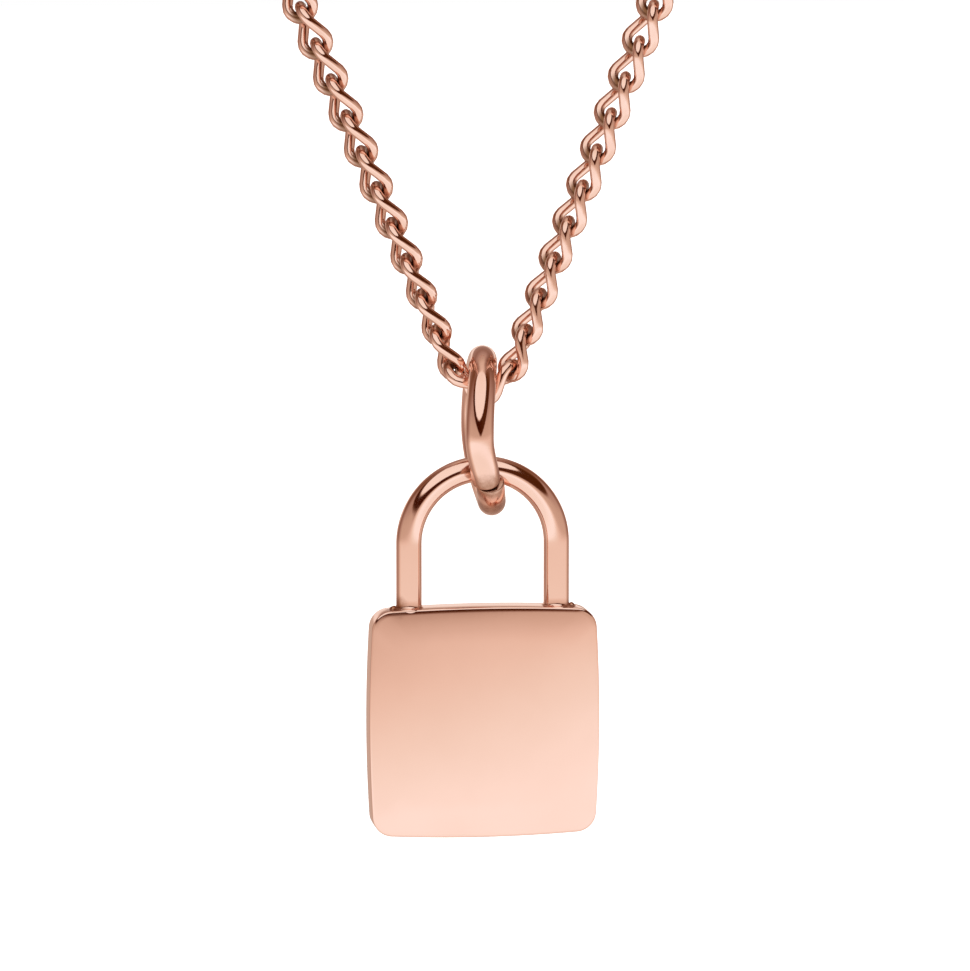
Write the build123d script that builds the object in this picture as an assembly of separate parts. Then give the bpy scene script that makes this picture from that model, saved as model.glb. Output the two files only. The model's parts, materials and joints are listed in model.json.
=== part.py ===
from build123d import *
from math import acos, cos, degrees, exp, hypot, pi, radians, sin, sqrt, tan
import os

os.makedirs("parts", exist_ok=True)

# Lengths in millimetres, angles in degrees. +X is to the right as seen from the front, +Y goes back
# into the neck and +Z is up. The pieces are built round the lowest joint of the chain and moved at the
# end, so that the origin is the middle of the clasp at the nape.

# Padlock body
body_width = 12.0
body_height = 12.05
body_thickness = 2.0
side_bow = 0.2
corner_radius = 1.05
face_dome = 0.16
edge_round = 0.15

# Shackle and the solder at its feet
shackle_wire = 1.32
shackle_span = 7.7
shackle_leg = 3.26
leg_sink = 0.7
collar_size = 0.2
bead_size = 0.46

# Jump ring
ring_wire = 1.45
ring_bore = 5.9
ring_bow = 0.28
cut_width = 0.12
cut_step = 0.45
cut_angle = 52.0
end_bend = 0.25
ring_turn = 6.0

# Running gaps
ring_to_chain = 0.15
shackle_to_ring = 0.3
chain_to_clasp = 0.25

# Chain
necklace_length = 450.0
link_pitch = 2.0
link_wire = 0.52
link_gap = 0.13
link_half_width = 1.1
link_twist = 45.0

# How the links are rolled about the chain, and how far a strand lies in front of the sheet at its start
first_roll = 91.0
later_roll = 101.0
roll_difference = 4.0
roll_sway = 16.0
sway_length = 110.0
strand_offset = 0.4
settle_length = 8.0

# The route past the jump ring: the two lowest links meet in the lowest joint, and the strands start
# above them. Lengths are shares of the pitch, angles are degrees.
lowest_link_out = 0.371
lowest_link_back = 0.101
lowest_link_up = 0.407
lowest_link_slope = 49.3
lowest_link_roll = 89.2
strand_start_up = 0.7035
ring_seat_up = 0.43

# The way the chain hangs: a vee that runs into a round, drawn on a sheet that leans back
vee_angle = 22.4
vee_gap = 0.862
chest_lean = 5.0
chest_height = 40.0
shoulder_bend = 75.0
neck_lean = 58.0

# Clasp
clasp_wire = 0.8
clasp_length = 10.0
clasp_width = 5.0
sleeve_wire = 1.5
sleeve_length = 3.6


def round_face(at, along, radius):
    """A round face square to a direction."""
    return Plane(origin=at, z_dir=along) * Circle(radius)


def rounded_rod(corners, trim, radius):
    """A closed rod through corners, where each corner is an arc that starts trim before it."""
    count = len(corners)
    pieces = []
    for index in range(count):
        before = corners[index - 1]
        corner = corners[index]
        after = corners[(index + 1) % count]
        to_before = (before - corner).normalized()
        to_after = (after - corner).normalized()
        opening = acos(to_before.dot(to_after))
        bend = trim * tan(opening / 2)
        start = corner + to_before * trim
        finish = corner + to_after * trim
        centre = corner + (to_before + to_after).normalized() * hypot(bend, trim)
        spin = (start - centre).cross(finish - centre).normalized()
        face = round_face(start, to_before * -1, radius)
        pieces.append(revolve(face, Axis(centre, spin), degrees(pi - opening)))
        straight = (after - corner).length - 2 * trim
        if straight > 0.001:
            pieces.append(extrude(round_face(finish, to_after, radius), straight))
    return pieces[0].fuse(*pieces[1:])


def curb_link():
    """One link of the chain, with its two ends turned opposite ways about its length."""
    reach = (link_pitch + link_wire + link_gap) / 2
    across = link_half_width * cos(radians(link_twist))
    depth = link_half_width * sin(radians(link_twist))
    corners = [
        Vector(across, -depth, reach),
        Vector(-across, depth, reach),
        Vector(-across, -depth, -reach),
        Vector(across, depth, -reach),
    ]
    side = (corners[0] - corners[3]).length
    trim = min(link_half_width, 0.48 * side)
    return rounded_rod(corners, trim, link_wire / 2)


def sheet_lean(height):
    """How far the sheet leans back at a height of the drawing, in radians."""
    bent = min(max(height - chest_height, 0), shoulder_bend * radians(neck_lean - chest_lean))
    return radians(chest_lean) + bent / shoulder_bend


def sheet_point(x, height):
    """Where a point of the flat drawing lies once the sheet leans back."""
    first = radians(chest_lean)
    lean = sheet_lean(height)
    below = min(height, chest_height)
    above = max(height - chest_height - shoulder_bend * (lean - first), 0)
    y = below * sin(first) + shoulder_bend * (cos(first) - cos(lean)) + above * sin(lean)
    z = below * cos(first) + shoulder_bend * (sin(lean) - sin(first)) + above * cos(lean)
    return Vector(x, y, z)


def sheet_back(height):
    """The direction square to the sheet, away from the viewer."""
    lean = sheet_lean(height)
    return Vector(0, cos(lean), -sin(lean))


def link_plane(middle, along, back, roll):
    """The frame of a link that runs along a direction and is rolled about it."""
    side = back.cross(along).normalized()
    behind = along.cross(side).normalized()
    turned = side * cos(radians(roll)) + behind * sin(radians(roll))
    return Plane(origin=middle, x_dir=turned, z_dir=along)


def drawn_point(distance):
    """A point of a strand on the flat drawing, by its distance from the strand's start."""
    if distance < vee_length:
        return start_x + distance * sin(vee), start_height + distance * cos(vee)
    angle = (distance - vee_length) / round_radius - vee
    return round_radius * cos(angle), round_height + round_radius * sin(angle)


def joint_point(side, index):
    """Where two links of a strand meet, counted from its lowest joint."""
    distance = index * link_pitch
    x, height = drawn_point(distance)
    offset = Vector(0, -side * strand_offset * exp(-distance / settle_length), 0)
    return sheet_point(side * x, height) + offset


def strand_plane(side, index):
    """The frame of one link of a strand."""
    distance = (index + 0.5) * link_pitch
    low = joint_point(side, index)
    high = joint_point(side, index + 1)
    settled = 1 - exp(-distance / settle_length)
    roll = first_roll + (later_roll - first_roll) * settled + side * roll_difference / 2
    roll += roll_sway * sin(2 * pi * distance / sway_length)
    back = sheet_back(drawn_point(distance)[1])
    return link_plane((low + high) / 2, (high - low).normalized(), back, roll)


def lowest_plane(side):
    """The frame of one of the two lowest links, which are half a turn apart."""
    out = side * lowest_link_out * link_pitch
    back = -side * lowest_link_back * link_pitch
    up = lowest_link_up * link_pitch
    slope = radians(lowest_link_slope)
    along = Vector(side * sin(slope), 0, cos(slope))
    return link_plane(Vector(out, back, up), along, Vector(0, 1, 0), lowest_link_roll)


# The neck's round closes the loop at its real length
vee = radians(vee_angle)
start_height = strand_start_up * link_pitch
start_x = vee_gap + start_height * tan(vee)
strand_links = round((necklace_length - clasp_length - 2 * link_pitch) / 2 / link_pitch)
clasp_reach = clasp_length / 2 - clasp_wire - chain_to_clasp / 2
half_loop = strand_links * link_pitch + clasp_reach
round_radius = (half_loop + start_x / sin(vee)) / (1 / tan(vee) + pi / 2 + vee)
vee_length = (round_radius * cos(vee) - start_x) / sin(vee)
round_height = start_height + vee_length * cos(vee) + round_radius * sin(vee)
top_height = round_height + round_radius

# Chain: two strands and the two lowest links that carry the jump ring
link = curb_link()
planes = [lowest_plane(1), lowest_plane(-1)]
for side in (1, -1):
    planes += [strand_plane(side, index) for index in range(strand_links)]
links = [link.moved(plane.location) for plane in planes]

# Jump ring: one turn of round wire, cut low on its front. Its front and back bow to the left. Its
# lowest quarter is bent to the right and its front end less so, which steps the two ends apart.
ring_radius = (ring_bore + ring_wire) / 2
ring_start = pi - radians(cut_angle)
ring_sweep = 2 * pi - cut_width / ring_radius
ring_top = ring_seat_up * link_pitch + link_wire / 2 + ring_to_chain
ring_middle = ring_top - ring_bore / 2


def eased(share):
    """A share kept from 0 to 1, with a soft start and finish."""
    kept = min(max(share, 0), 1)
    return kept * kept * (3 - 2 * kept)


def ring_point(angle):
    """A point of the wire's middle, at an angle from the ring's top that counts forwards."""
    low = eased(-angle * 2 / pi - 1)
    front = eased((angle - pi / 2) / (ring_start - pi / 2))
    aside = cut_step * low + end_bend * front - ring_bow * sin(angle) ** 2
    return Vector(aside, -ring_radius * sin(angle), ring_radius * cos(angle))


ring_line = Spline([ring_point(ring_start - ring_sweep * share / 48) for share in range(49)])
jump_ring = sweep(round_face(ring_line @ 0, ring_line % 0, ring_wire / 2), ring_line)
jump_ring = Pos(0, 0, ring_middle) * Rot(0, 0, -ring_turn) * jump_ring

# Heights of the padlock, which hangs in the jump ring by its shackle
shackle_radius = shackle_span / 2
shackle_top = ring_middle - ring_radius + (ring_wire + shackle_wire) / 2 + shackle_to_ring
arch_height = shackle_top - shackle_radius
body_top = arch_height - shackle_leg
body_middle = body_top - body_height / 2


def padlock_body():
    """A square with bowed sides and rounded corners, domed on both faces, round its middle."""
    right = body_width / 2
    top = body_height / 2
    corner_x = right - side_bow
    corner_z = top - side_bow
    outline = [
        ThreePointArc((-corner_x, corner_z), (0, top), (corner_x, corner_z)),
        ThreePointArc((corner_x, corner_z), (right, 0), (corner_x, -corner_z)),
        ThreePointArc((corner_x, -corner_z), (0, -top), (-corner_x, -corner_z)),
        ThreePointArc((-corner_x, -corner_z), (-right, 0), (-corner_x, corner_z)),
    ]
    face = make_face(outline)
    face = fillet(face.vertices(), corner_radius)
    slab = extrude(Plane.XZ * face, body_thickness / 2, both=True)
    reach = hypot(right, top)
    dome_radius = (reach**2 + face_dome**2) / (2 * face_dome)
    for way in (-1, 1):
        slab = slab & Pos(0, way * (body_thickness / 2 - dome_radius), 0) * Sphere(dome_radius)
    rim = slab.edges().filter_by(Axis.Y, reverse=True)
    return fillet(rim, edge_round)


def solder_collar():
    """The hollow ring of solder round the foot of a leg, standing on its own origin."""
    inner = shackle_wire / 2
    outer = inner + collar_size
    sunk = collar_size / 2
    waist = inner + collar_size * (1 - sqrt(0.5))
    rise = collar_size * (1 - sqrt(0.5))
    profile = make_face(
        [
            Line((0, -sunk), (outer, -sunk)),
            Line((outer, -sunk), (outer, 0)),
            ThreePointArc((outer, 0), (waist, rise), (inner, collar_size)),
            Line((inner, collar_size), (0, collar_size)),
            Line((0, collar_size), (0, -sunk)),
        ]
    )
    return revolve(Plane.XZ * profile, Axis.Z)


def padlock_shackle():
    """The arch, its legs down into the body, and the solder at their feet."""
    start = round_face(Vector(shackle_radius, 0, arch_height), Vector(0, 0, 1), shackle_wire / 2)
    arch = revolve(start, Axis((0, 0, arch_height), (0, -1, 0)), 180)
    pieces = []
    for side in (-1, 1):
        foot = Vector(side * shackle_radius, 0, arch_height)
        leg = round_face(foot, Vector(0, 0, -1), shackle_wire / 2)
        top_here = body_top - side_bow * (shackle_span / body_width) ** 2
        pieces.append(extrude(leg, shackle_leg + leg_sink))
        pieces.append(Pos(side * shackle_radius, 0, top_here) * solder_collar())
        bead_x = side * (shackle_radius + (shackle_wire + bead_size) / 2 - collar_size / 2)
        pieces.append(Pos(bead_x, 0, top_here - bead_size / 5) * Sphere(bead_size / 2))
    return arch.fuse(*pieces)


padlock = Pos(0, 0, body_middle) * padlock_body() + padlock_shackle()

# Clasp: an oval ring with a sleeve on one side, lying on the sheet at the nape
clasp_outline = SlotCenterToCenter(clasp_length - clasp_width, clasp_width - clasp_wire).wire()
clasp_ring = sweep(round_face(clasp_outline @ 0, clasp_outline % 0, clasp_wire / 2), clasp_outline)
sleeve = Pos(0, (clasp_width - clasp_wire) / 2, 0) * Rot(0, 90, 0)
clasp = clasp_ring + sleeve * Cylinder(sleeve_wire / 2, sleeve_length)
nape = sheet_point(0, top_height)
clasp = Plane(origin=nape, x_dir=Vector(1, 0, 0), z_dir=sheet_back(top_height) * -1) * clasp

# Everything moves so that the nape is the origin
hang = Pos(*(nape * -1))
export_step(hang * padlock, "parts/padlock.step")
export_step(hang * jump_ring, "parts/jump_ring.step")
export_step(hang * clasp, "parts/clasp.step")
export_step(Compound(children=[hang * piece for piece in links]), "parts/chain.step")

print("links", len(links), "round radius", round(round_radius, 3))
print("lowest joint from the nape", [round(value, 3) for value in hang.position])
print("jump ring middle over the lowest joint", round(ring_middle, 3))
print("padlock: arch", round(arch_height, 3), "body top", round(body_top, 3))
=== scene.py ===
import json
from math import atan2, cos, exp, hypot, pi, radians, sin, sqrt, tan

import bmesh
import bpy
from mathutils import Matrix, Vector, noise


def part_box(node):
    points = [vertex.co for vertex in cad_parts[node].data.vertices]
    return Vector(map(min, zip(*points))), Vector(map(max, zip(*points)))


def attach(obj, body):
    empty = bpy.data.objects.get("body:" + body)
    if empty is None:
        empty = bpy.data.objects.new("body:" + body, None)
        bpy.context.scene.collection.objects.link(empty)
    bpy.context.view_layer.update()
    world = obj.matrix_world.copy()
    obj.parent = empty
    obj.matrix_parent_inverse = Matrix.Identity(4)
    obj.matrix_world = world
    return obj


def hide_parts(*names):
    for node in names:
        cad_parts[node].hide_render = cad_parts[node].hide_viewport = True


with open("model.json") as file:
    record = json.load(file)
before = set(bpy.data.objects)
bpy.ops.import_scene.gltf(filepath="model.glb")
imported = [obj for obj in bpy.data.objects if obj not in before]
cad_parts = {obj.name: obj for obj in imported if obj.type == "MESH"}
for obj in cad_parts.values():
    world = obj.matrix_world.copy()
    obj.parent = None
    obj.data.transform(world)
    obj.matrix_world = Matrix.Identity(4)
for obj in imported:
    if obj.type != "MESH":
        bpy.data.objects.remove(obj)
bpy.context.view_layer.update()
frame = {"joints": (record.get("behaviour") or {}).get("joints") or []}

scene = bpy.context.scene
mm = 0.001
up = Vector((0, 0, 1))
right = Vector((1, 0, 0))
back = Vector((0, 1, 0))

# the joints are set at the chain's lowest joint and at the jump ring's bottom
joints = {j["name"]: j for j in frame["joints"]}
lowestJoint = Vector(joints["ring_swing"]["pos_m"])
ringBottom = Vector(joints["padlock_swing"]["pos_m"])
ringNormal = Vector(joints["ring_swing"]["axis"]).normalized()
ringAcross = Vector(joints["padlock_swing"]["axis"]).normalized()


def newObject(name, mesh):
    mesh.name = name
    mesh.polygons.foreach_set("use_smooth", [True] * len(mesh.polygons))
    obj = bpy.data.objects.new(name, mesh)
    scene.collection.objects.link(obj)
    return obj


def meshFrom(bm):
    mesh = bpy.data.meshes.new("shell")
    bm.to_mesh(mesh)
    bm.free()
    return mesh


def ringStack(rings, loop=False):
    # quads between rings of points; the ends of an open stack are closed by fans
    count = len(rings[0])
    verts = [v for ring in rings for v in ring]
    faces = []
    for k in range(len(rings) if loop else len(rings) - 1):
        a, b = k * count, ((k + 1) % len(rings)) * count
        for i in range(count):
            j = (i + 1) % count
            faces.append((a + i, a + j, b + j, b + i))
    if not loop:
        for base in (0, (len(rings) - 1) * count):
            middle = sum((verts[base + i] for i in range(count)), Vector()) / count
            verts.append(middle)
            faces += [(base + i, base + (i + 1) % count, len(verts) - 1) for i in range(count)]
    mesh = bpy.data.meshes.new("shell")
    mesh.from_pydata([tuple(v) for v in verts], [], faces)
    return mesh


def joinShells(name, shells):
    # one smooth object from closed shells, all faces pointing out
    bm = bmesh.new()
    for shell in shells:
        bm.from_mesh(shell)
        bpy.data.meshes.remove(shell)
    bmesh.ops.recalc_face_normals(bm, faces=bm.faces)
    return newObject(name, meshFrom(bm))


def section(centre, across, along, radius, sides):
    # a round ring of points
    points = []
    for i in range(sides):
        turn = 2 * pi / sides * i
        points.append(centre + across * (radius * cos(turn)) + along * (radius * sin(turn)))
    return points


def newTree(name, kind, inputs, outputs):
    # a node tree with named inputs and outputs; sockets holds each input's identifier
    tree = bpy.data.node_groups.new(name, kind)
    sockets = {}
    for label, socket in inputs.items():
        made = tree.interface.new_socket(label, in_out="INPUT", socket_type="NodeSocket" + socket)
        sockets[label] = made.identifier
    for label, socket in outputs.items():
        tree.interface.new_socket(label, in_out="OUTPUT", socket_type="NodeSocket" + socket)
    start, end = tree.nodes.new("NodeGroupInput").outputs, tree.nodes.new("NodeGroupOutput").inputs
    return tree, sockets, start, end


def nodeTools(tree):
    # short ways to add nodes to one tree, and to wire or set their inputs
    def put(value, socket):
        if hasattr(value, "is_output"):
            tree.links.new(value, socket)
        else:
            socket.default_value = value

    def add(kind, inputs=None, **settings):
        node = tree.nodes.new(kind)
        for key, value in settings.items():
            setattr(node, key, value)
        for key, value in (inputs or {}).items():
            put(value, node.inputs[key])
        return node

    def sums(operation, a, b=0.0):
        return add("ShaderNodeMath", {0: a, 1: b}, operation=operation).outputs[0]

    def ranged(value, low, high, start=0.0, end=1.0, kind="SMOOTHSTEP"):
        given = {"Value": value, "From Min": low, "From Max": high, "To Min": start, "To Max": end}
        return add("ShaderNodeMapRange", given, interpolation_type=kind).outputs[0]

    return put, add, sums, ranged


# Padlock: a domed square plate with a soldered shackle
padLow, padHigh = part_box("padlock")
padlock = {
    "height": 12.05 * mm,
    "sideBow": 0.2 * mm,
    "corner": 1.05 * mm,
    "sideSteps": 30, "cornerSteps": 14,
    "cornerTries": 12,
    # the face's rings, as shares of the way out: first, step and count, closer where the face falls
    "faceRings": ((1 / 30, 1 / 30, 26), (0.88, 0.012, 7), (0.96, 0.005, 9)),
    "faceDome": 0.16 * mm,
    "pillow": 0.03 * mm,        # the face falls a little more close to its edge
    "pillowFrom": 0.72,
    "rim": 0.003 * mm,          # and a touch more right beside it
    "rimFrom": 0.975,
    "twist": 2.2,               # per metre: the front leans up on its left and down on its right
    "twistFade": 0.25,          # the share of the twist that is gone at the top and bottom
    "twistFadePower": 6,
    "edgeRound": 0.12 * mm,
    "edgeSteps": 10,
    "shackleWire": 1.32 * mm,
    "shackleSpan": 7.7 * mm,
    "shackleSides": 48, "archSteps": 96, "legSteps": 12,
    "legSink": 0.5 * mm,
    "collar": 0.2 * mm,
    "collarSink": 0.08 * mm,
    "collarSteps": 6,
    "bead": 0.46 * mm,
    "beadSink": 0.092 * mm,
    "beadLump": 0.16, "beadGrain": 2.2,
    "beadSeeds": (3.1, 7.4),
}
padWidth = padHigh.x - padLow.x
padThick = padHigh.y - padLow.y
plateMiddle = Vector(((padLow.x + padHigh.x) / 2, (padLow.y + padHigh.y) / 2, padLow.z + padlock["height"] / 2))
# where a shackle leg meets the plate's bowed top
plateTop = padLow.z + padlock["height"] - padlock["sideBow"] * (padlock["shackleSpan"] / padWidth) ** 2
faceShares = [first + step * k for first, step, count in padlock["faceRings"] for k in range(count)]


def plateOutline(inset):
    # bowed sides and rounded corners, seen from the front, moved in by inset
    p = padlock
    bow, corner = p["sideBow"], p["corner"]
    points = []
    for side in range(4):
        near, far = padWidth / 2, p["height"] / 2
        if side % 2:
            near, far = far, near
        radius = ((far - bow) ** 2 + bow ** 2) / (2 * bow)
        nextRadius = ((near - bow) ** 2 + bow ** 2) / (2 * bow)
        centre, nextCentre = near - radius, far - nextRadius
        # the corner's middle lies inside both bows by its radius, and each try comes closer to it
        x, z = near - bow - corner, far - bow - corner
        for _ in range(p["cornerTries"]):
            x = centre + sqrt((radius - corner) ** 2 - z ** 2)
            z = nextCentre + sqrt((nextRadius - corner) ** 2 - x ** 2)
        start, finish = atan2(z, x - centre), atan2(z - nextCentre, x)
        turn = Matrix.Rotation(pi / 2 * side, 2)
        for i in range(p["sideSteps"]):
            a = start * (2 * i / p["sideSteps"] - 1)
            points.append(turn @ Vector((centre + (radius - inset) * cos(a), (radius - inset) * sin(a))))
        for i in range(p["cornerSteps"]):
            a = start + (finish - start) * i / p["cornerSteps"]
            points.append(turn @ (Vector((x, z)) + Vector((cos(a), sin(a))) * (corner - inset)))
    return points


def plateFace(way):
    # rings from the middle of one face out to its wall; the twist is in the front alone
    p = padlock
    reach = hypot(padWidth, p["height"]) / 2
    domeRadius = (reach ** 2 + p["faceDome"] ** 2) / (2 * p["faceDome"])

    def ring(points, drop):
        placed = []
        for q in points:
            fall = domeRadius - sqrt(domeRadius ** 2 - q.length_squared)
            lean = q.y * (1 - p["twistFade"] * (2 * q.y / p["height"]) ** p["twistFadePower"])
            depth = padThick / 2 - fall - drop + (p["twist"] * q.x * lean if way < 0 else 0)
            placed.append(plateMiddle + Vector((q.x, way * depth, q.y)))
        return placed

    rim = plateOutline(p["edgeRound"])
    fallen = p["pillow"] + p["rim"]
    rings = []
    for share in faceShares:
        close = max(share - p["pillowFrom"], 0) / (1 - p["pillowFrom"])
        closer = max(share - p["rimFrom"], 0) / (1 - p["rimFrom"])
        rings.append(ring([q * share for q in rim], p["pillow"] * close ** 2 + p["rim"] * closer ** 2))
    for k in range(1, p["edgeSteps"] + 1):
        a = pi / 2 * k / p["edgeSteps"]
        inset, drop = p["edgeRound"] * (1 - sin(a)), p["edgeRound"] * (1 - cos(a))
        rings.append(ring(plateOutline(inset), fallen + drop * (1 - fallen / p["edgeRound"])))
    return rings


def shackleRings():
    # one round wire: up from inside the plate with a flared foot, over the arch and down again
    p = padlock
    wire, span, collar, sides = p["shackleWire"] / 2, p["shackleSpan"] / 2, p["collar"], p["shackleSides"]
    archHeight = padHigh.z - wire - span
    foot = [(-p["legSink"], wire), (-p["collarSink"], wire + collar)]
    for k in range(p["collarSteps"] + 1):
        inside = collar * (1 - k / p["collarSteps"])
        foot.append((collar * k / p["collarSteps"], wire + collar - sqrt(collar ** 2 - inside ** 2)))
    for k in range(1, p["legSteps"] + 1):
        foot.append((collar + (archHeight - plateTop - collar) * k / p["legSteps"], wire))

    def leg(side, stations):
        x, y = plateMiddle.x + side * span, plateMiddle.y
        return [section(Vector((x, y, plateTop + height)), right * side, back, size, sides)
                for height, size in stations]

    arch = []
    for k in range(1, p["archSteps"]):
        a = pi * (1 - k / p["archSteps"])
        out = Vector((cos(a), 0, sin(a)))
        at = Vector((plateMiddle.x, plateMiddle.y, archHeight)) + out * span
        arch.append(section(at, out, back, wire, sides))
    return leg(-1, foot) + arch + leg(1, foot[::-1])


def solderBead(at, size, seed):
    # a small uneven drop
    p = padlock
    bm = bmesh.new()
    bmesh.ops.create_icosphere(bm, subdivisions=3, radius=size / 2)
    for v in bm.verts:
        lump = noise.noise(v.co / size * p["beadGrain"] + Vector((seed, 0, 0)))
        v.co = at + v.co * (1 + p["beadLump"] * lump)
    return meshFrom(bm)


def makePadlock():
    p = padlock
    shells = [ringStack(plateFace(-1) + plateFace(1)[::-1]), ringStack(shackleRings())]
    outside = (p["shackleSpan"] + p["shackleWire"] + p["bead"] - p["collar"]) / 2
    for side, seed in zip((-1, 1), p["beadSeeds"]):
        at = Vector((plateMiddle.x + side * outside, plateMiddle.y, plateTop - p["beadSink"]))
        shells.append(solderBead(at, p["bead"], seed))
    return joinShells("padlock_polished", shells)


padlockPiece = makePadlock()
print("padlock made")

# Jump ring: one turn of round wire, cut low at the front. Its sides bow to the left. Its lowest
# quarter is bent to the right and its front end less so, which steps the two ends apart.
jumpRing = {
    "wire": 1.45 * mm,
    "bore": 5.9 * mm,
    "bow": 0.28 * mm,
    "cut": 0.12 * mm,
    "step": 0.45 * mm,
    "cutAngle": radians(52),    # how far the cut lies from the ring's bottom
    "endBend": 0.25 * mm,
    "endRound": 0.07 * mm,
    "endRough": 0.05 * mm, "endGrain": 1.7, "endDip": -0.2,
    "wireSides": 56, "turnSteps": 220, "endSteps": 4,
}
ringRadius = (jumpRing["bore"] + jumpRing["wire"]) / 2
ringMiddle = ringBottom - ringNormal * jumpRing["step"] + up * ringRadius


def eased(share):
    kept = min(max(share, 0), 1)
    return kept * kept * (3 - 2 * kept)


def ringPoint(angle):
    # the angle starts at the ring's top and counts forwards
    p = jumpRing
    low = eased(-angle * 2 / pi - 1)
    front = eased((angle - pi / 2) / (pi / 2 - p["cutAngle"]))
    aside = p["step"] * low + p["endBend"] * front - p["bow"] * sin(angle) ** 2
    forward, height = ringRadius * sin(angle), ringRadius * cos(angle)
    return ringMiddle + ringNormal * aside - ringAcross * forward + up * height


def makeJumpRing():
    p = jumpRing
    wire = p["wire"] / 2
    start = pi - p["cutAngle"]
    sweep = 2 * pi - p["cut"] / ringRadius
    nib = p["endRound"] / ringRadius
    ahead = 0.01                # radians, to find the wire's direction
    turns = [pi / 2 * k / p["endSteps"] for k in range(p["endSteps"])]
    stations = [(nib * (1 - cos(a)), wire - p["endRound"] * (1 - sin(a))) for a in turns]
    stations += [(nib + (sweep - 2 * nib) * k / p["turnSteps"], wire) for k in range(p["turnSteps"] + 1)]
    stations += [(sweep - turned, size) for turned, size in stations[p["endSteps"] - 1::-1]]
    rings = []
    for turned, size in stations:
        angle = start - turned
        at = ringPoint(angle)
        along = (ringPoint(angle - ahead) - ringPoint(angle + ahead)).normalized()
        out = (at - ringMiddle).normalized()
        aside = along.cross(out).normalized()
        rings.append(section(at, aside, aside.cross(along), size, p["wireSides"]))
    # the cutters left the ends a little ragged
    along = (ringPoint(start - ahead) - ringPoint(start)).normalized()
    for ring, way in ((rings[0], 1), (rings[-1], -1)):
        for i, v in enumerate(ring):
            rise = max(noise.noise(v / mm * p["endGrain"]), p["endDip"])
            ring[i] = v + along * (way * p["endRough"] * rise)
    return joinShells("jump_ring_polished", [ringStack(rings)])


jumpRingPiece = makeJumpRing()
print("jump ring made")

# Chain: the route is a vee that runs into a round, drawn on a sheet that leans back over the shoulders
chain = {
    "length": 450 * mm,
    "pitch": 2.0 * mm,
    "wire": 0.52 * mm,
    "gap": 0.13 * mm,
    "halfWidth": 1.1 * mm,
    "twist": radians(45),
    "firstRoll": 91, "laterRoll": 101, "rollDifference": 4, "rollSway": 16,
    "swayLength": 110 * mm,
    "strandOffset": 0.4 * mm,
    "settleLength": 8 * mm,
    "veeAngle": radians(22.4),
    "veeGap": 0.862 * mm,
    "startUp": 0.7035,          # shares of the pitch, for the route past the jump ring
    "lowestOut": 0.371, "lowestBack": 0.101, "lowestUp": 0.407,
    "lowestSlope": radians(49.3),
    "lowestRoll": 89.2,
    "chestLean": radians(5), "neckLean": radians(58),
    "chestHeight": 40 * mm,
    "shoulderBend": 75 * mm,
    "plump": 0.024 * mm,        # the wire is drawn this much fatter, so the near links almost touch
    "bulge": 0.3,               # how much rounder the sides are than the bent wire's straight runs
    "slim": 0.77,               # how deep a link's ends are, as a share of the bent wire's depth
    "bendShare": 0.48,          # the most of a link's side that the bend at each end may take
    "bendKept": 0.998,          # the share of that which it takes, so that no two bends meet
    "nearLinks": 30,            # links of each strand that get the finer mesh
    "nearMesh": {"Corner Steps": 5, "Side Cuts": 1, "Wire Sides": 14},
    # two steps cut inside the round of a corner, so the far links overlap by about 0.1 mm
    "farMesh": {"Corner Steps": 2, "Side Cuts": 0, "Wire Sides": 6},
}

# Clasp: an oval ring with a sleeve, at the nape
clasp = {
    "wire": 0.8 * mm,
    "length": 10 * mm,
    "width": 5 * mm,
    "toChain": 0.25 * mm,
    "wireSides": 24, "endSteps": 24,
    "sleeveWire": 1.5 * mm,
    "sleeveLength": 3.6 * mm,
    "sleeveSides": 40, "sleeveSteps": 60,
    "sleeveRound": 0.12 * mm,
    "grooveAt": 0.36,           # shares of the sleeve's length, from its middle
    "grooveWidth": 0.12 * mm,
    "grooveDepth": 0.05 * mm,
}

vee = chain["veeAngle"]
startHeight = chain["startUp"] * chain["pitch"]
startX = chain["veeGap"] + startHeight * tan(vee)
strandLinks = round((chain["length"] - clasp["length"] - 2 * chain["pitch"]) / 2 / chain["pitch"])
claspReach = clasp["length"] / 2 - clasp["wire"] - clasp["toChain"] / 2
roundRadius = (strandLinks * chain["pitch"] + claspReach + startX / sin(vee)) / (1 / tan(vee) + pi / 2 + vee)
veeLength = (roundRadius * cos(vee) - startX) / sin(vee)
roundHeight = startHeight + veeLength * cos(vee) + roundRadius * sin(vee)


def sheetLean(height):
    bend = chain["shoulderBend"]
    bent = min(max(height - chain["chestHeight"], 0), bend * (chain["neckLean"] - chain["chestLean"]))
    return chain["chestLean"] + bent / bend


def sheetPoint(x, height):
    # a point of the flat drawing, once the sheet leans back
    first, lean, bend = chain["chestLean"], sheetLean(height), chain["shoulderBend"]
    below = min(height, chain["chestHeight"])
    above = max(height - chain["chestHeight"] - bend * (lean - first), 0)
    y = below * sin(first) + bend * (cos(first) - cos(lean)) + above * sin(lean)
    z = below * cos(first) + bend * (sin(lean) - sin(first)) + above * cos(lean)
    return lowestJoint + Vector((x, y, z))


def drawnPoint(distance):
    # the flat drawing: straight up the vee, then round
    if distance < veeLength:
        return startX + distance * sin(vee), startHeight + distance * cos(vee)
    angle = (distance - veeLength) / roundRadius - vee
    return roundRadius * cos(angle), roundHeight + roundRadius * sin(angle)


def jointPoint(side, index):
    distance = index * chain["pitch"]
    x, height = drawnPoint(distance)
    offset = -side * chain["strandOffset"] * exp(-distance / chain["settleLength"])
    return sheetPoint(side * x, height) + Vector((0, offset, 0))


def linkFrame(middle, along, outward, roll):
    # a link's middle, its length's direction and the direction across it
    side = outward.cross(along).normalized()
    behind = along.cross(side).normalized()
    return middle, along, side * cos(radians(roll)) + behind * sin(radians(roll))


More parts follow.
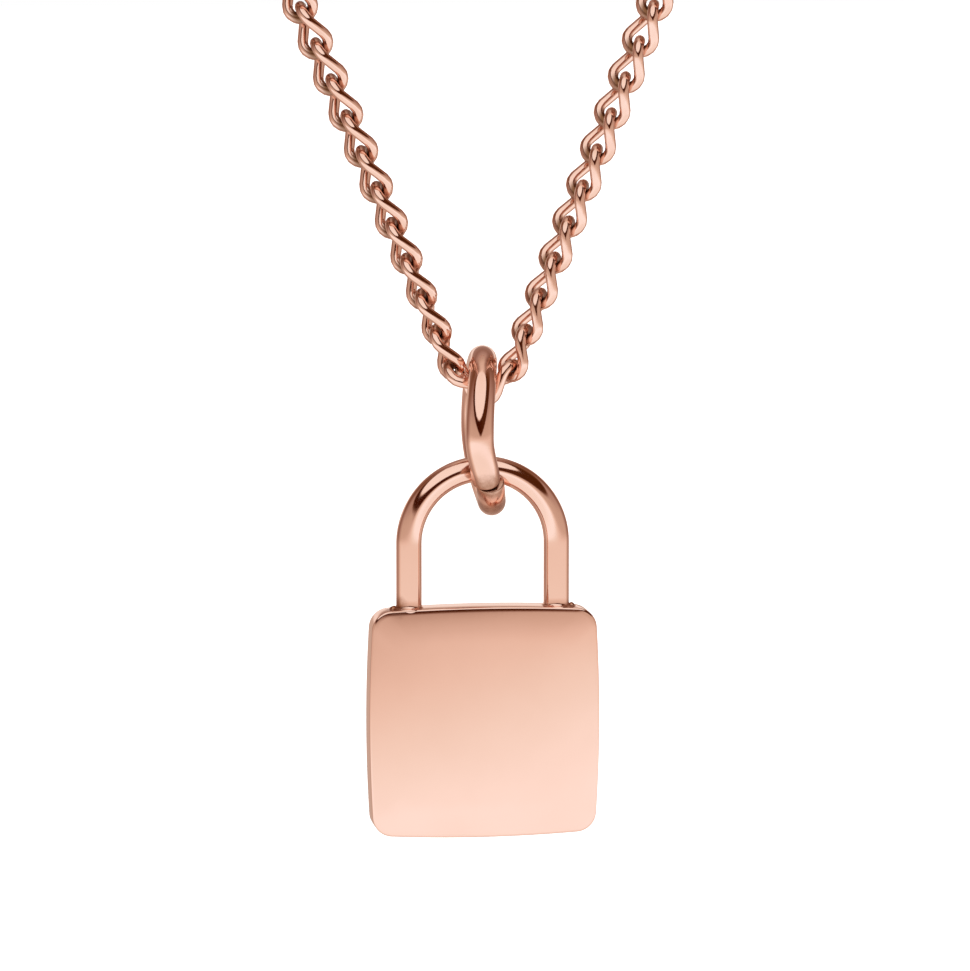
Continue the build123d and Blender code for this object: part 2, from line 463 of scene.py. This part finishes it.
def strandFrame(side, index):
    p = chain
    distance = (index + 0.5) * p["pitch"]
    low, high = jointPoint(side, index), jointPoint(side, index + 1)
    settled = 1 - exp(-distance / p["settleLength"])
    roll = p["firstRoll"] + (p["laterRoll"] - p["firstRoll"]) * settled
    roll += side * p["rollDifference"] / 2 + p["rollSway"] * sin(2 * pi * distance / p["swayLength"])
    lean = sheetLean(drawnPoint(distance)[1])
    return linkFrame((low + high) / 2, (high - low).normalized(), Vector((0, cos(lean), -sin(lean))), roll)


def lowestFrame(side):
    p = chain
    at = Vector((side * p["lowestOut"], -side * p["lowestBack"], p["lowestUp"])) * p["pitch"]
    along = Vector((side * sin(p["lowestSlope"]), 0, cos(p["lowestSlope"])))
    return linkFrame(lowestJoint + at, along, back, p["lowestRoll"])


def linkTree():
    # Geometry Nodes: a rounded skew rectangle swept with round wire, set on every point of the route
    inputs = {
        "Geometry": "Geometry", "Half Across": "Float", "Half Depth": "Float", "Reach": "Float",
        "Corner Radius": "Float", "Wire Radius": "Float", "Half Pitch": "Float", "Bulge": "Float",
        "Slim": "Float", "Corner Steps": "Int", "Side Cuts": "Int", "Wire Sides": "Int", "Material": "Material",
    }
    tree, sockets, start, end = newTree("curbLinks", "GeometryNodeTree", inputs, {"Geometry": "Geometry"})
    put, add, sums, _ = nodeTools(tree)

    def position():
        return add("GeometryNodeInputPosition").outputs[0]

    rectangle = add("GeometryNodeCurvePrimitiveQuadrilateral", {
        "Width": sums("MULTIPLY", start["Half Across"], 2), "Height": sums("MULTIPLY", start["Reach"], 2)})
    # opposite corners come forward, the others go back
    x, y, z = add("ShaderNodeSeparateXYZ", {"Vector": position()}).outputs
    corner = sums("SIGN", sums("MULTIPLY", x, y))
    depth = sums("MULTIPLY", corner, sums("MULTIPLY", start["Half Depth"], -1))
    skew = add("ShaderNodeCombineXYZ", {"X": x, "Y": depth, "Z": y})
    placed = add("GeometryNodeSetPosition", {"Geometry": rectangle.outputs[0], "Position": skew.outputs[0]})
    rounded = add("GeometryNodeFilletCurve", {
        "Curve": placed.outputs[0], "Count": start["Corner Steps"], "Radius": start["Corner Radius"]},
        mode="POLY")
    denser = add("GeometryNodeSubdivideCurve", {"Curve": rounded.outputs[0], "Cuts": start["Side Cuts"]})
    # the sides turn faster at their middle than at the ends
    x, y, z = add("ShaderNodeSeparateXYZ", {"Vector": position()}).outputs
    share = sums("DIVIDE", z, start["Reach"])
    fuller = sums("MULTIPLY", sums("SUBTRACT", 1, sums("MULTIPLY", share, share)), start["Bulge"])
    wider = sums("MULTIPLY", sums("ADD", fuller, start["Slim"]), y)
    turned = add("ShaderNodeCombineXYZ", {"X": x, "Y": wider, "Z": z})
    curved = add("GeometryNodeSetPosition", {"Geometry": denser.outputs[0], "Position": turned.outputs[0]})
    wire = add("GeometryNodeCurvePrimitiveCircle", {
        "Resolution": start["Wire Sides"], "Radius": start["Wire Radius"]})
    tube = add("GeometryNodeCurveToMesh", {"Curve": curved.outputs[0], "Profile Curve": wire.outputs[0]})
    # how far each point lies from where the link meets its neighbour, for the painted shade in the joints
    height = add("ShaderNodeSeparateXYZ", {"Vector": position()}).outputs["Z"]
    meeting = add("ShaderNodeCombineXYZ", {"Z": sums("MULTIPLY", sums("SIGN", height), start["Half Pitch"])})
    apart = add("ShaderNodeVectorMath", {0: position(), 1: meeting.outputs[0]}, operation="DISTANCE")
    kept = add("GeometryNodeStoreNamedAttribute", {
        "Geometry": tube.outputs[0], "Name": "fromJoint", "Value": apart.outputs["Value"]},
        data_type="FLOAT", domain="POINT")
    # each point of the route carries its link's two directions
    along = add("GeometryNodeInputNamedAttribute", {"Name": "along"}, data_type="FLOAT_VECTOR")
    across = add("GeometryNodeInputNamedAttribute", {"Name": "across"}, data_type="FLOAT_VECTOR")
    facing = add("FunctionNodeAxesToRotation", {0: along.outputs[0], 1: across.outputs[0]},
                 primary_axis="Z", secondary_axis="X")
    copies = add("GeometryNodeInstanceOnPoints", {
        "Points": start["Geometry"], "Instance": kept.outputs[0], "Rotation": facing.outputs[0]})
    real = add("GeometryNodeRealizeInstances", {"Geometry": copies.outputs[0]})
    finish = add("GeometryNodeSetMaterial", {"Geometry": real.outputs[0], "Material": start["Material"]})
    put(finish.outputs[0], end["Geometry"])
    return tree, sockets


def linkPiece(name, frames, tree, sockets, fineness, material):
    p = chain
    points = bpy.data.meshes.new("route")
    points.from_pydata([tuple(f[0]) for f in frames], [], [])
    for key, place in (("along", 1), ("across", 2)):
        attribute = points.attributes.new(key, "FLOAT_VECTOR", "POINT")
        attribute.data.foreach_set("vector", [c for f in frames for c in f[place]])
    route = bpy.data.objects.new("route", points)
    scene.collection.objects.link(route)
    halfAcross, halfDepth = p["halfWidth"] * cos(p["twist"]), p["halfWidth"] * sin(p["twist"])
    reach = (p["pitch"] + p["wire"] + p["gap"]) / 2
    toNext = Vector((-2 * halfAcross, 2 * halfDepth, 0))
    toLast = Vector((0, 2 * halfDepth, -2 * reach))
    # each corner starts its bend just short of the middle of its side
    trim = min(p["halfWidth"], p["bendShare"] * toLast.length) * p["bendKept"]
    values = {
        "Half Across": halfAcross, "Half Depth": halfDepth, "Reach": reach,
        "Corner Radius": trim * tan(toNext.angle(toLast) / 2),
        "Wire Radius": p["wire"] / 2 + p["plump"], "Half Pitch": p["pitch"] / 2,
        "Bulge": p["bulge"], "Slim": p["slim"], "Material": material, **fineness,
    }
    modifier = route.modifiers.new("links", "NODES")
    modifier.node_group = tree
    for key, value in values.items():
        modifier[sockets[key]] = value
    evaluated = route.evaluated_get(bpy.context.evaluated_depsgraph_get())
    mesh = bpy.data.meshes.new_from_object(evaluated)
    bpy.data.objects.remove(route)
    return newObject(name, mesh)


def makeClasp():
    p = clasp
    lean = sheetLean(roundHeight + roundRadius)
    outward = Vector((0, sin(lean), cos(lean)))
    facing = Vector((0, -cos(lean), sin(lean)))
    low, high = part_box("clasp")
    nape = Vector(((low.x + high.x) / 2, 0, 0))
    bend = (p["width"] - p["wire"]) / 2
    half = (p["length"] - p["width"]) / 2
    rings = []
    for end in (1, -1):
        for k in range(p["endSteps"] + 1):
            a = -pi / 2 + pi * k / p["endSteps"]
            out = (right * cos(a) + outward * sin(a)) * end
            at = nape + right * half * end + out * bend
            rings.append(section(at, out, facing, p["wire"] / 2, p["wireSides"]))
    oval = ringStack(rings, loop=True)
    # the sleeve has rounded ends and two turned grooves
    rings = []
    edge = p["sleeveRound"]
    for k in range(p["sleeveSteps"] + 1):
        x = -p["sleeveLength"] / 2 + p["sleeveLength"] * k / p["sleeveSteps"]
        fromEnd = p["sleeveLength"] / 2 - abs(x)
        size = p["sleeveWire"] / 2 - (edge - sqrt(max(edge ** 2 - max(edge - fromEnd, 0) ** 2, 0)))
        fromGroove = min(abs(abs(x) - p["sleeveLength"] * p["grooveAt"]) / p["grooveWidth"], 1)
        size -= p["grooveDepth"] * (1 - fromGroove)
        rings.append(section(nape + outward * bend + right * x, outward, facing, size, p["sleeveSides"]))
    return joinShells("clasp_polished", [oval, ringStack(rings)])


claspPiece = makeClasp()
print("clasp made")

# Rose gold: one group makes the marks of polishing and wear, each material has its own values
polish = {
    "mottleDetail": 4,
    "hairDetail": 3,
    "smearScale": 90, "smearDetail": 2, "smearBend": 1.5,
    "mottleRange": (0.3, 0.62),
    "smearRange": (0.3, 0.75),
    "bumpDepth": 0.01 * mm,
    "spotScale": 4000,          # the ragged edge of the solder spots and of the darker patches about the ring's cut
    "spotRagged": 0.4 * mm,
}


def marksGroup():
    inputs = {"Vector": "Vector", "Mottle Scale": "Float", "Scratch Scale": "Float", "Scratch Stretch": "Float"}
    outputs = {"Mottle": "Float", "Scratches": "Float", "Smears": "Float"}
    group, _, start, end = newTree("polishMarks", "ShaderNodeTree", inputs, outputs)
    put, add, _, _ = nodeTools(group)
    p = polish
    mottle = add("ShaderNodeTexNoise", {
        "Vector": start["Vector"], "Scale": start["Mottle Scale"], "Detail": p["mottleDetail"]})
    # fine hairlines and smears: noise stretched along one direction
    stretch = add("ShaderNodeCombineXYZ", {"X": 1, "Y": 1, "Z": start["Scratch Stretch"]})
    squeeze = add("ShaderNodeVectorMath", {0: start["Vector"], 1: stretch.outputs[0]}, operation="MULTIPLY")
    hair = add("ShaderNodeTexNoise", {
        "Vector": squeeze.outputs[0], "Scale": start["Scratch Scale"], "Detail": p["hairDetail"]})
    smear = add("ShaderNodeTexNoise", {
        "Vector": squeeze.outputs[0], "Scale": p["smearScale"], "Detail": p["smearDetail"],
        "Distortion": p["smearBend"]})
    for pattern, name in ((mottle, "Mottle"), (hair, "Scratches"), (smear, "Smears")):
        put(pattern.outputs[0], end[name])
    return group


def spotGroup():
    # a soft round mask about one place on the piece
    inputs = {"Vector": "Vector", "Centre": "Vector", "Inner": "Float", "Outer": "Float"}
    group, _, start, end = newTree("softSpot", "ShaderNodeTree", inputs, {"Mask": "Float"})
    put, add, _, ranged = nodeTools(group)
    ragged = add("ShaderNodeTexNoise", {"Vector": start["Vector"], "Scale": polish["spotScale"]})
    apart = add("ShaderNodeVectorMath", {0: start["Vector"], 1: start["Centre"]}, operation="DISTANCE")
    uneven = add("ShaderNodeMath", {0: ragged.outputs[0], 1: polish["spotRagged"], 2: apart.outputs["Value"]},
                 operation="MULTIPLY_ADD")
    put(ranged(uneven.outputs[0], start["Inner"], start["Outer"], 1, 0), end["Mask"])
    return group


marks = marksGroup()
softSpot = spotGroup()


def roseGold(name, finish, spots=(), joints=None):
    material = bpy.data.materials.new(name)
    material.use_nodes = True
    put, add, sums, ranged = nodeTools(material.node_tree)
    shader = material.node_tree.nodes["Principled BSDF"].inputs
    shader["Metallic"].default_value = 1
    place = add("ShaderNodeTexCoord").outputs["Object"]
    wear = add("ShaderNodeGroup", {
        "Vector": place, "Mottle Scale": finish["mottle"], "Scratch Scale": finish["scratch"],
        "Scratch Stretch": finish["stretch"]}, node_tree=marks).outputs
    tint = add("ShaderNodeValToRGB", {0: wear["Mottle"]})
    for stop, position, tone in zip(tint.color_ramp.elements, polish["mottleRange"], ("deep", "light")):
        stop.position, stop.color = position, (*finish[tone], 1)
    colour = tint.outputs[0]
    dullness = ranged(wear["Smears"], *polish["smearRange"], finish["gloss"], finish["dull"], "LINEAR")

    # solder and the ring about its cut ends are darker and duller; the chain's joints get painted shade, darker
    # and duller where the links meet
    masks = []
    for centre, inner, outer in spots:
        values = {"Vector": place, "Centre": centre, "Inner": inner, "Outer": outer}
        masks.append(add("ShaderNodeGroup", values, node_tree=softSpot).outputs[0])
    # painted shade in the joints of the chain, full close to where the links meet
    if joints:
        near = add("ShaderNodeAttribute", attribute_name="fromJoint")
        masks.append(ranged(near.outputs["Fac"], *joints, 1, 0))
    if masks:
        mask = masks[0]
        for other in masks[1:]:
            mask = sums("MAXIMUM", mask, other)
        darker = add("ShaderNodeMix", {"Factor": mask, 6: colour, 7: (*finish["markAndShade"], 1)}, data_type="RGBA")
        duller = add("ShaderNodeMix", {"Factor": mask, 2: dullness, 3: finish["markAndShadeRough"]})
        colour, dullness = darker.outputs[2], duller.outputs[0]
    put(colour, shader["Base Color"])
    put(dullness, shader["Roughness"])
    bump = add("ShaderNodeBump", {
        "Strength": finish["bump"], "Distance": polish["bumpDepth"], "Height": wear["Scratches"]})
    put(bump.outputs[0], shader["Normal"])
    return material


padlockFinish = {
    "light": (0.92, 0.6, 0.48), "deep": (0.90, 0.58, 0.46), "gloss": 0.07, "dull": 0.12,
    "mottle": 260, "scratch": 1500, "stretch": 0.3, "bump": 0.12,
    "markAndShade": (0.45, 0.2, 0.11), "markAndShadeRough": 0.35,
    "solderReach": (1.05 * mm, 0.7 * mm),   # round the foot of the left leg and of the right
    "solderForward": 0.2 * mm, "solderUp": 0.05 * mm,
}
ringFinish = {
    "light": (0.92, 0.59, 0.47), "deep": (0.89, 0.56, 0.44), "gloss": 0.04, "dull": 0.1,
    "mottle": 700, "scratch": 2600, "stretch": 2.5, "bump": 0.1,
    "markAndShade": (0.42, 0.2, 0.12), "markAndShadeRough": 0.32,
    # darker and duller patches about the two cut ends: how far out they are full and where they are gone
    "frontCut": (0.7 * mm, 1.5 * mm), "lowCut": (0.8 * mm, 1.4 * mm),
}
chainFinish = {
    "light": (0.93, 0.61, 0.49), "deep": (0.87, 0.55, 0.43), "gloss": 0.06, "dull": 0.14,
    "mottle": 900, "scratch": 3000, "stretch": 1.5, "bump": 0.15,
    # the painted shade in the chain's joints: its colour and roughness, and how far from a joint it is full and
    # where it is gone
    "markAndShade": (0.26, 0.115, 0.055), "markAndShadeRough": 0.36,
    "joints": (0.41 * mm, 0.8 * mm),
}
claspFinish = {
    "light": (0.91, 0.57, 0.45), "deep": (0.86, 0.52, 0.40), "gloss": 0.06, "dull": 0.14,
    "mottle": 500, "scratch": 1800, "stretch": 0.5, "bump": 0.15,
}

solderSpots = []
for side, reach in zip((-1, 1), padlockFinish["solderReach"]):
    x = plateMiddle.x + side * (padlock["shackleSpan"] + padlock["shackleWire"]) / 2
    y, z = plateMiddle.y - padlockFinish["solderForward"], plateTop + padlockFinish["solderUp"]
    solderSpots.append(((x, y, z), reach / 3, reach))
cutSpots = [(ringPoint(pi - jumpRing["cutAngle"]), *ringFinish["frontCut"]),
            (ringPoint(-pi - jumpRing["cutAngle"] / 2), *ringFinish["lowCut"])]
finishes = {
    "padlock": roseGold("roseGoldPadlock", padlockFinish, solderSpots),
    "ring": roseGold("roseGoldRing", ringFinish, cutSpots),
    "chain": roseGold("roseGoldChain", chainFinish, joints=chainFinish["joints"]),
    "clasp": roseGold("roseGoldClasp", claspFinish),
}

tree, sockets = linkTree()
nearFrames = [lowestFrame(side) for side in (1, -1)]
farFrames = []
for side in (1, -1):
    for index in range(strandLinks):
        (nearFrames if index < chain["nearLinks"] else farFrames).append(strandFrame(side, index))
nearPiece = linkPiece("chain_front", nearFrames, tree, sockets, chain["nearMesh"], finishes["chain"])
farPiece = linkPiece("chain_back", farFrames, tree, sockets, chain["farMesh"], finishes["chain"])
print("chain made:", len(nearFrames) + len(farFrames), "links")

for piece, body, finish, node in ((padlockPiece, "pendant", "padlock", "padlock"),
                                  (jumpRingPiece, "ring", "ring", "jump_ring"),
                                  (nearPiece, "necklace", "chain", "chain"),
                                  (farPiece, "necklace", "chain", "chain"),
                                  (claspPiece, "necklace", "clasp", "clasp")):
    if not piece.data.materials:
        piece.data.materials.append(finishes[finish])
    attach(piece, body)
    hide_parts(node)

# Studio: a pale floor, and a light tent whose brightness depends on direction alone
studio = {
    "floorDrop": 0.24,
    "floorSize": 6.0,
    "floorColour": (0.9, 0.9, 0.9, 1),
    "floorRough": 0.7,
    "floorGlow": 1,
    "cameraAzimuth": radians(-8),
    "cameraElevation": radians(7),
    "cameraDistance": 0.3,
    "viewWidth": 50.17 * mm,    # at the point aimed at
    "sensor": 36,
    "nearest": 0.01, "furthest": 50,
    "aim": Vector((0.12, 0, -4.55)) * mm,   # from the lowest joint
}
# angles are degrees: azimuth from straight ahead, elevation from the horizon
tent = {
    "strength": 1.4,
    # the soft box: its brightness low and high, where its middle is, and its lower edge, which rises
    # to both sides and fades over a little below and above
    "box": 1.04, "boxHigh": 0.98, "boxFade": (50, 90),
    "boxTurn": -14, "boxWide": 37, "boxCurve": 1.6, "boxRise": 11, "boxLow": 19, "boxLimit": 84,
    "boxSoft": (1.5, 2.5),
    # the dark gap below it: its lower edge, level ahead and rising to the sides, and its brightness
    # to the left and right, at the sides and high up
    "gapLow": -3.25, "gapSlope": 0.44, "gapLevel": 6, "gapSoft": (2.5, 2),
    "gapLeft": 0.05, "gapRight": 0.08, "gapTurn": (-20, 25),
    "gapSides": 0.3, "gapSidesFade": (70, 130),
    "gapTop": 0.8, "gapTopFade": (60, 84),
    # brightness by elevation: the table, dimmer to the sides, and the wall behind, warmer low down
    "table": [(-90, 1.0), (-30, 1.05), (-20, 1.12), (-13, 1.13), (-11, 1.08), (-9, 1.0), (-7, 0.92),
              (-5.5, 0.85), (-4, 0.76), (-2, 0.68), (10, 0.62), (20, 0.5), (45, 0.4)],
    "tableSides": 0.45, "tableFade": (82, 128),
    "wall": [(-90, 0.8), (-30, 0.55), (-8, 0.6), (1, 0.62), (4, 0.96), (10, 0.96), (14, 0.38), (33, 0.31),
             (46, 0.46), (57, 0.56), (67, 0.7), (84, 0.82), (90, 0.93)],
    "wallFade": (130, 158),
    "wallTint": (1, 0.92, 0.88, 1), "wallTintFade": (10, 20),
    # brightness, and green and blue as shares of red: the darker, the browner
    "tints": [(0.0, 0.1, 0.0), (0.054, 0.15, 0.01), (0.107, 0.34, 0.1), (0.19, 0.44, 0.23), (0.326, 0.62, 0.5),
              (0.44, 0.70, 0.61), (0.63, 0.81, 0.69), (0.86, 0.87, 0.8), (0.92, 0.895, 0.835),
              (0.98, 0.98, 0.955), (1.05, 1.04, 1.06), (1.15, 1.08, 1.16)],
}


def makeFloor():
    p = studio
    size = p["floorSize"] / 2
    bm = bmesh.new()
    corners = ((-size, -size), (size, -size), (size, size), (-size, size))
    bm.faces.new([bm.verts.new((x, y, -p["floorDrop"])) for x, y in corners])
    floor = newObject("floor", meshFrom(bm))
    material = bpy.data.materials.new("paleFloor")
    material.use_nodes = True
    shader = material.node_tree.nodes["Principled BSDF"].inputs
    shader["Base Color"].default_value = p["floorColour"]
    shader["Roughness"].default_value = p["floorRough"]
    shader["Emission Color"].default_value = (1, 1, 1, 1)
    shader["Emission Strength"].default_value = p["floorGlow"]
    floor.data.materials.append(material)
    floor.visible_glossy = False


def makeCamera():
    p = studio
    a, e = p["cameraAzimuth"], p["cameraElevation"]
    away = Vector((sin(a) * cos(e), -cos(a) * cos(e), sin(e)))
    camera = bpy.data.objects.new("camera", bpy.data.cameras.new("camera"))
    scene.collection.objects.link(camera)
    camera.location = lowestJoint + p["aim"] + away * p["cameraDistance"]
    camera.rotation_euler = (-away).to_track_quat("-Z", "Y").to_euler()
    camera.data.sensor_width = p["sensor"]
    camera.data.lens = p["sensor"] * p["cameraDistance"] / p["viewWidth"]
    camera.data.clip_start = p["nearest"]
    camera.data.clip_end = p["furthest"]
    scene.camera = camera


def makeTent():
    # what the metal mirrors: a pale table, a round soft box in front and a dark gap between them
    p = tent
    world = bpy.data.worlds.new("tent")
    scene.world = world
    world.use_nodes = True
    world.node_tree.nodes.clear()
    _, add, sums, ranged = nodeTools(world.node_tree)

    def blend(share, a, b):
        return sums("ADD", sums("MULTIPLY", a, sums("SUBTRACT", 1.0, share)), sums("MULTIPLY", b, share))

    def above(edge, fade):
        # none below the edge, all above it
        return ranged(elevation, sums("SUBTRACT", edge, fade[0]), sums("ADD", edge, fade[1]))

    def profile(stops):
        # brightness at stops of elevation, straight between them
        level = stops[0][1]
        for (low, dim), (high, bright) in zip(stops, stops[1:]):
            level = sums("ADD", level, ranged(elevation, low, high, 0.0, bright - dim, "LINEAR"))
        return level

    ahead = add("ShaderNodeTexCoord").outputs["Generated"]
    x, y, z = add("ShaderNodeSeparateXYZ", {0: ahead}).outputs
    elevation = sums("MULTIPLY", sums("ARCSINE", z), 180 / pi)
    azimuth = sums("MULTIPLY", sums("ARCTAN2", x, sums("MULTIPLY", y, -1.0)), 180 / pi)
    aside = sums("ABSOLUTE", azimuth)
    behind = ranged(aside, *p["wallFade"])
    wall = profile(p["wall"])
    table = sums("MULTIPLY", profile(p["table"]), ranged(aside, *p["tableFade"], 1, p["tableSides"]))
    table = blend(behind, table, wall)
    gap = blend(ranged(azimuth, *p["gapTurn"]), p["gapLeft"], p["gapRight"])
    gap = blend(ranged(aside, *p["gapSidesFade"]), gap, p["gapSides"])
    gap = blend(ranged(elevation, *p["gapTopFade"]), gap, p["gapTop"])
    gap = blend(behind, gap, wall)
    box = ranged(elevation, *p["boxFade"], p["box"], p["boxHigh"])
    fromBox = sums("DIVIDE", sums("ABSOLUTE", sums("SUBTRACT", azimuth, p["boxTurn"])), p["boxWide"])
    boxEdge = sums("ADD", sums("MULTIPLY", sums("POWER", fromBox, p["boxCurve"]), p["boxRise"]), p["boxLow"])
    boxEdge = sums("MINIMUM", boxEdge, p["boxLimit"])
    gapEdge = sums("ADD", sums("MULTIPLY", sums("MAXIMUM", aside, p["gapLevel"]), p["gapSlope"]), p["gapLow"])
    level = blend(above(gapEdge, p["gapSoft"]), table, gap)
    level = blend(above(boxEdge, p["boxSoft"]), level, box)

    strongest = p["tints"][-1][0]
    tint = add("ShaderNodeValToRGB", {0: sums("DIVIDE", level, strongest)})
    stops = tint.color_ramp.elements
    while len(stops) < len(p["tints"]):
        stops.new(0.5)
    for stop, (bright, green, blue) in zip(stops, p["tints"]):
        stop.position = bright / strongest
        stop.color = (*(bright * share / p["strength"] for share in (1, green, blue)), 1)
    low = sums("MULTIPLY", behind, ranged(elevation, *p["wallTintFade"], 1, 0))
    warm = add("ShaderNodeMix", {"Factor": low, 6: tint.outputs[0], 7: p["wallTint"]},
               data_type="RGBA", blend_type="MULTIPLY")
    inside = add("ShaderNodeBackground", {"Color": warm.outputs[2], "Strength": p["strength"]})
    # the camera itself sees plain white past the metal
    backdrop = add("ShaderNodeBackground", {"Color": (1, 1, 1, 1)})
    seen = add("ShaderNodeLightPath").outputs["Is Camera Ray"]
    mix = add("ShaderNodeMixShader", {0: seen, 1: inside.outputs[0], 2: backdrop.outputs[0]})
    add("ShaderNodeOutputWorld", {0: mix.outputs[0]})


makeFloor()
makeCamera()
makeTent()
scene.view_settings.view_transform = "Standard"
print("studio made")

bpy.context.view_layer.update()
